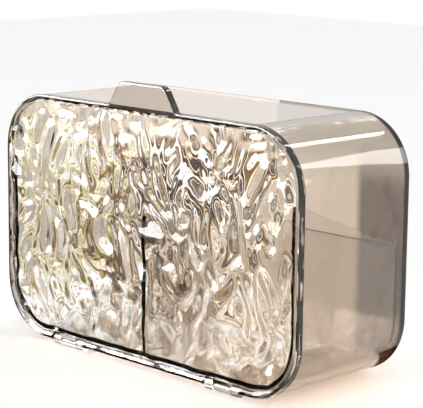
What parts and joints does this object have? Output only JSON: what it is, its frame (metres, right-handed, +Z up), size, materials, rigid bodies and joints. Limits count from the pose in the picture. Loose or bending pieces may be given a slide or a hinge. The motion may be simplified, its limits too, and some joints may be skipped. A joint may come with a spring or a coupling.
{
  "type": "cotton pad holder",
  "caption": "Clear countertop holder whose ripple-fronted, divided tray tips out on pin hinges to reach cotton pads and swabs.",
  "frame": {"origin": "middle of the footprint, on the surface the holder stands on", "axes": "+X to the right seen from the front, +Y to the back, +Z up"},
  "size_m": [0.175, 0.0664, 0.1202],
  "materials": {
    "tea_tinted_clear": "clear gloss, light tea tint",
    "stainless_wire": "drawn wire, bright",
    "clear_soft_pad": "satin"
  },
  "bodies": {
    "shell": {"outer_shell": "tea_tinted_clear", "hinge_pin_left": "stainless_wire", "hinge_pin_right": "stainless_wire", "rear_foot_left": "clear_soft_pad", "rear_foot_right": "clear_soft_pad"},
    "drawer": {"front_panel": "tea_tinted_clear", "drawer_tray": "tea_tinted_clear", "centre_divider": "tea_tinted_clear"}
  },
  "joints": [
    {"name": "drawer_tilt", "type": "hinge", "parent": "shell", "child": "drawer", "pos_m": [0, -0.0302, 0.0025], "axis": [1, 0, 0], "range_deg": [0, 45]}
  ]
}
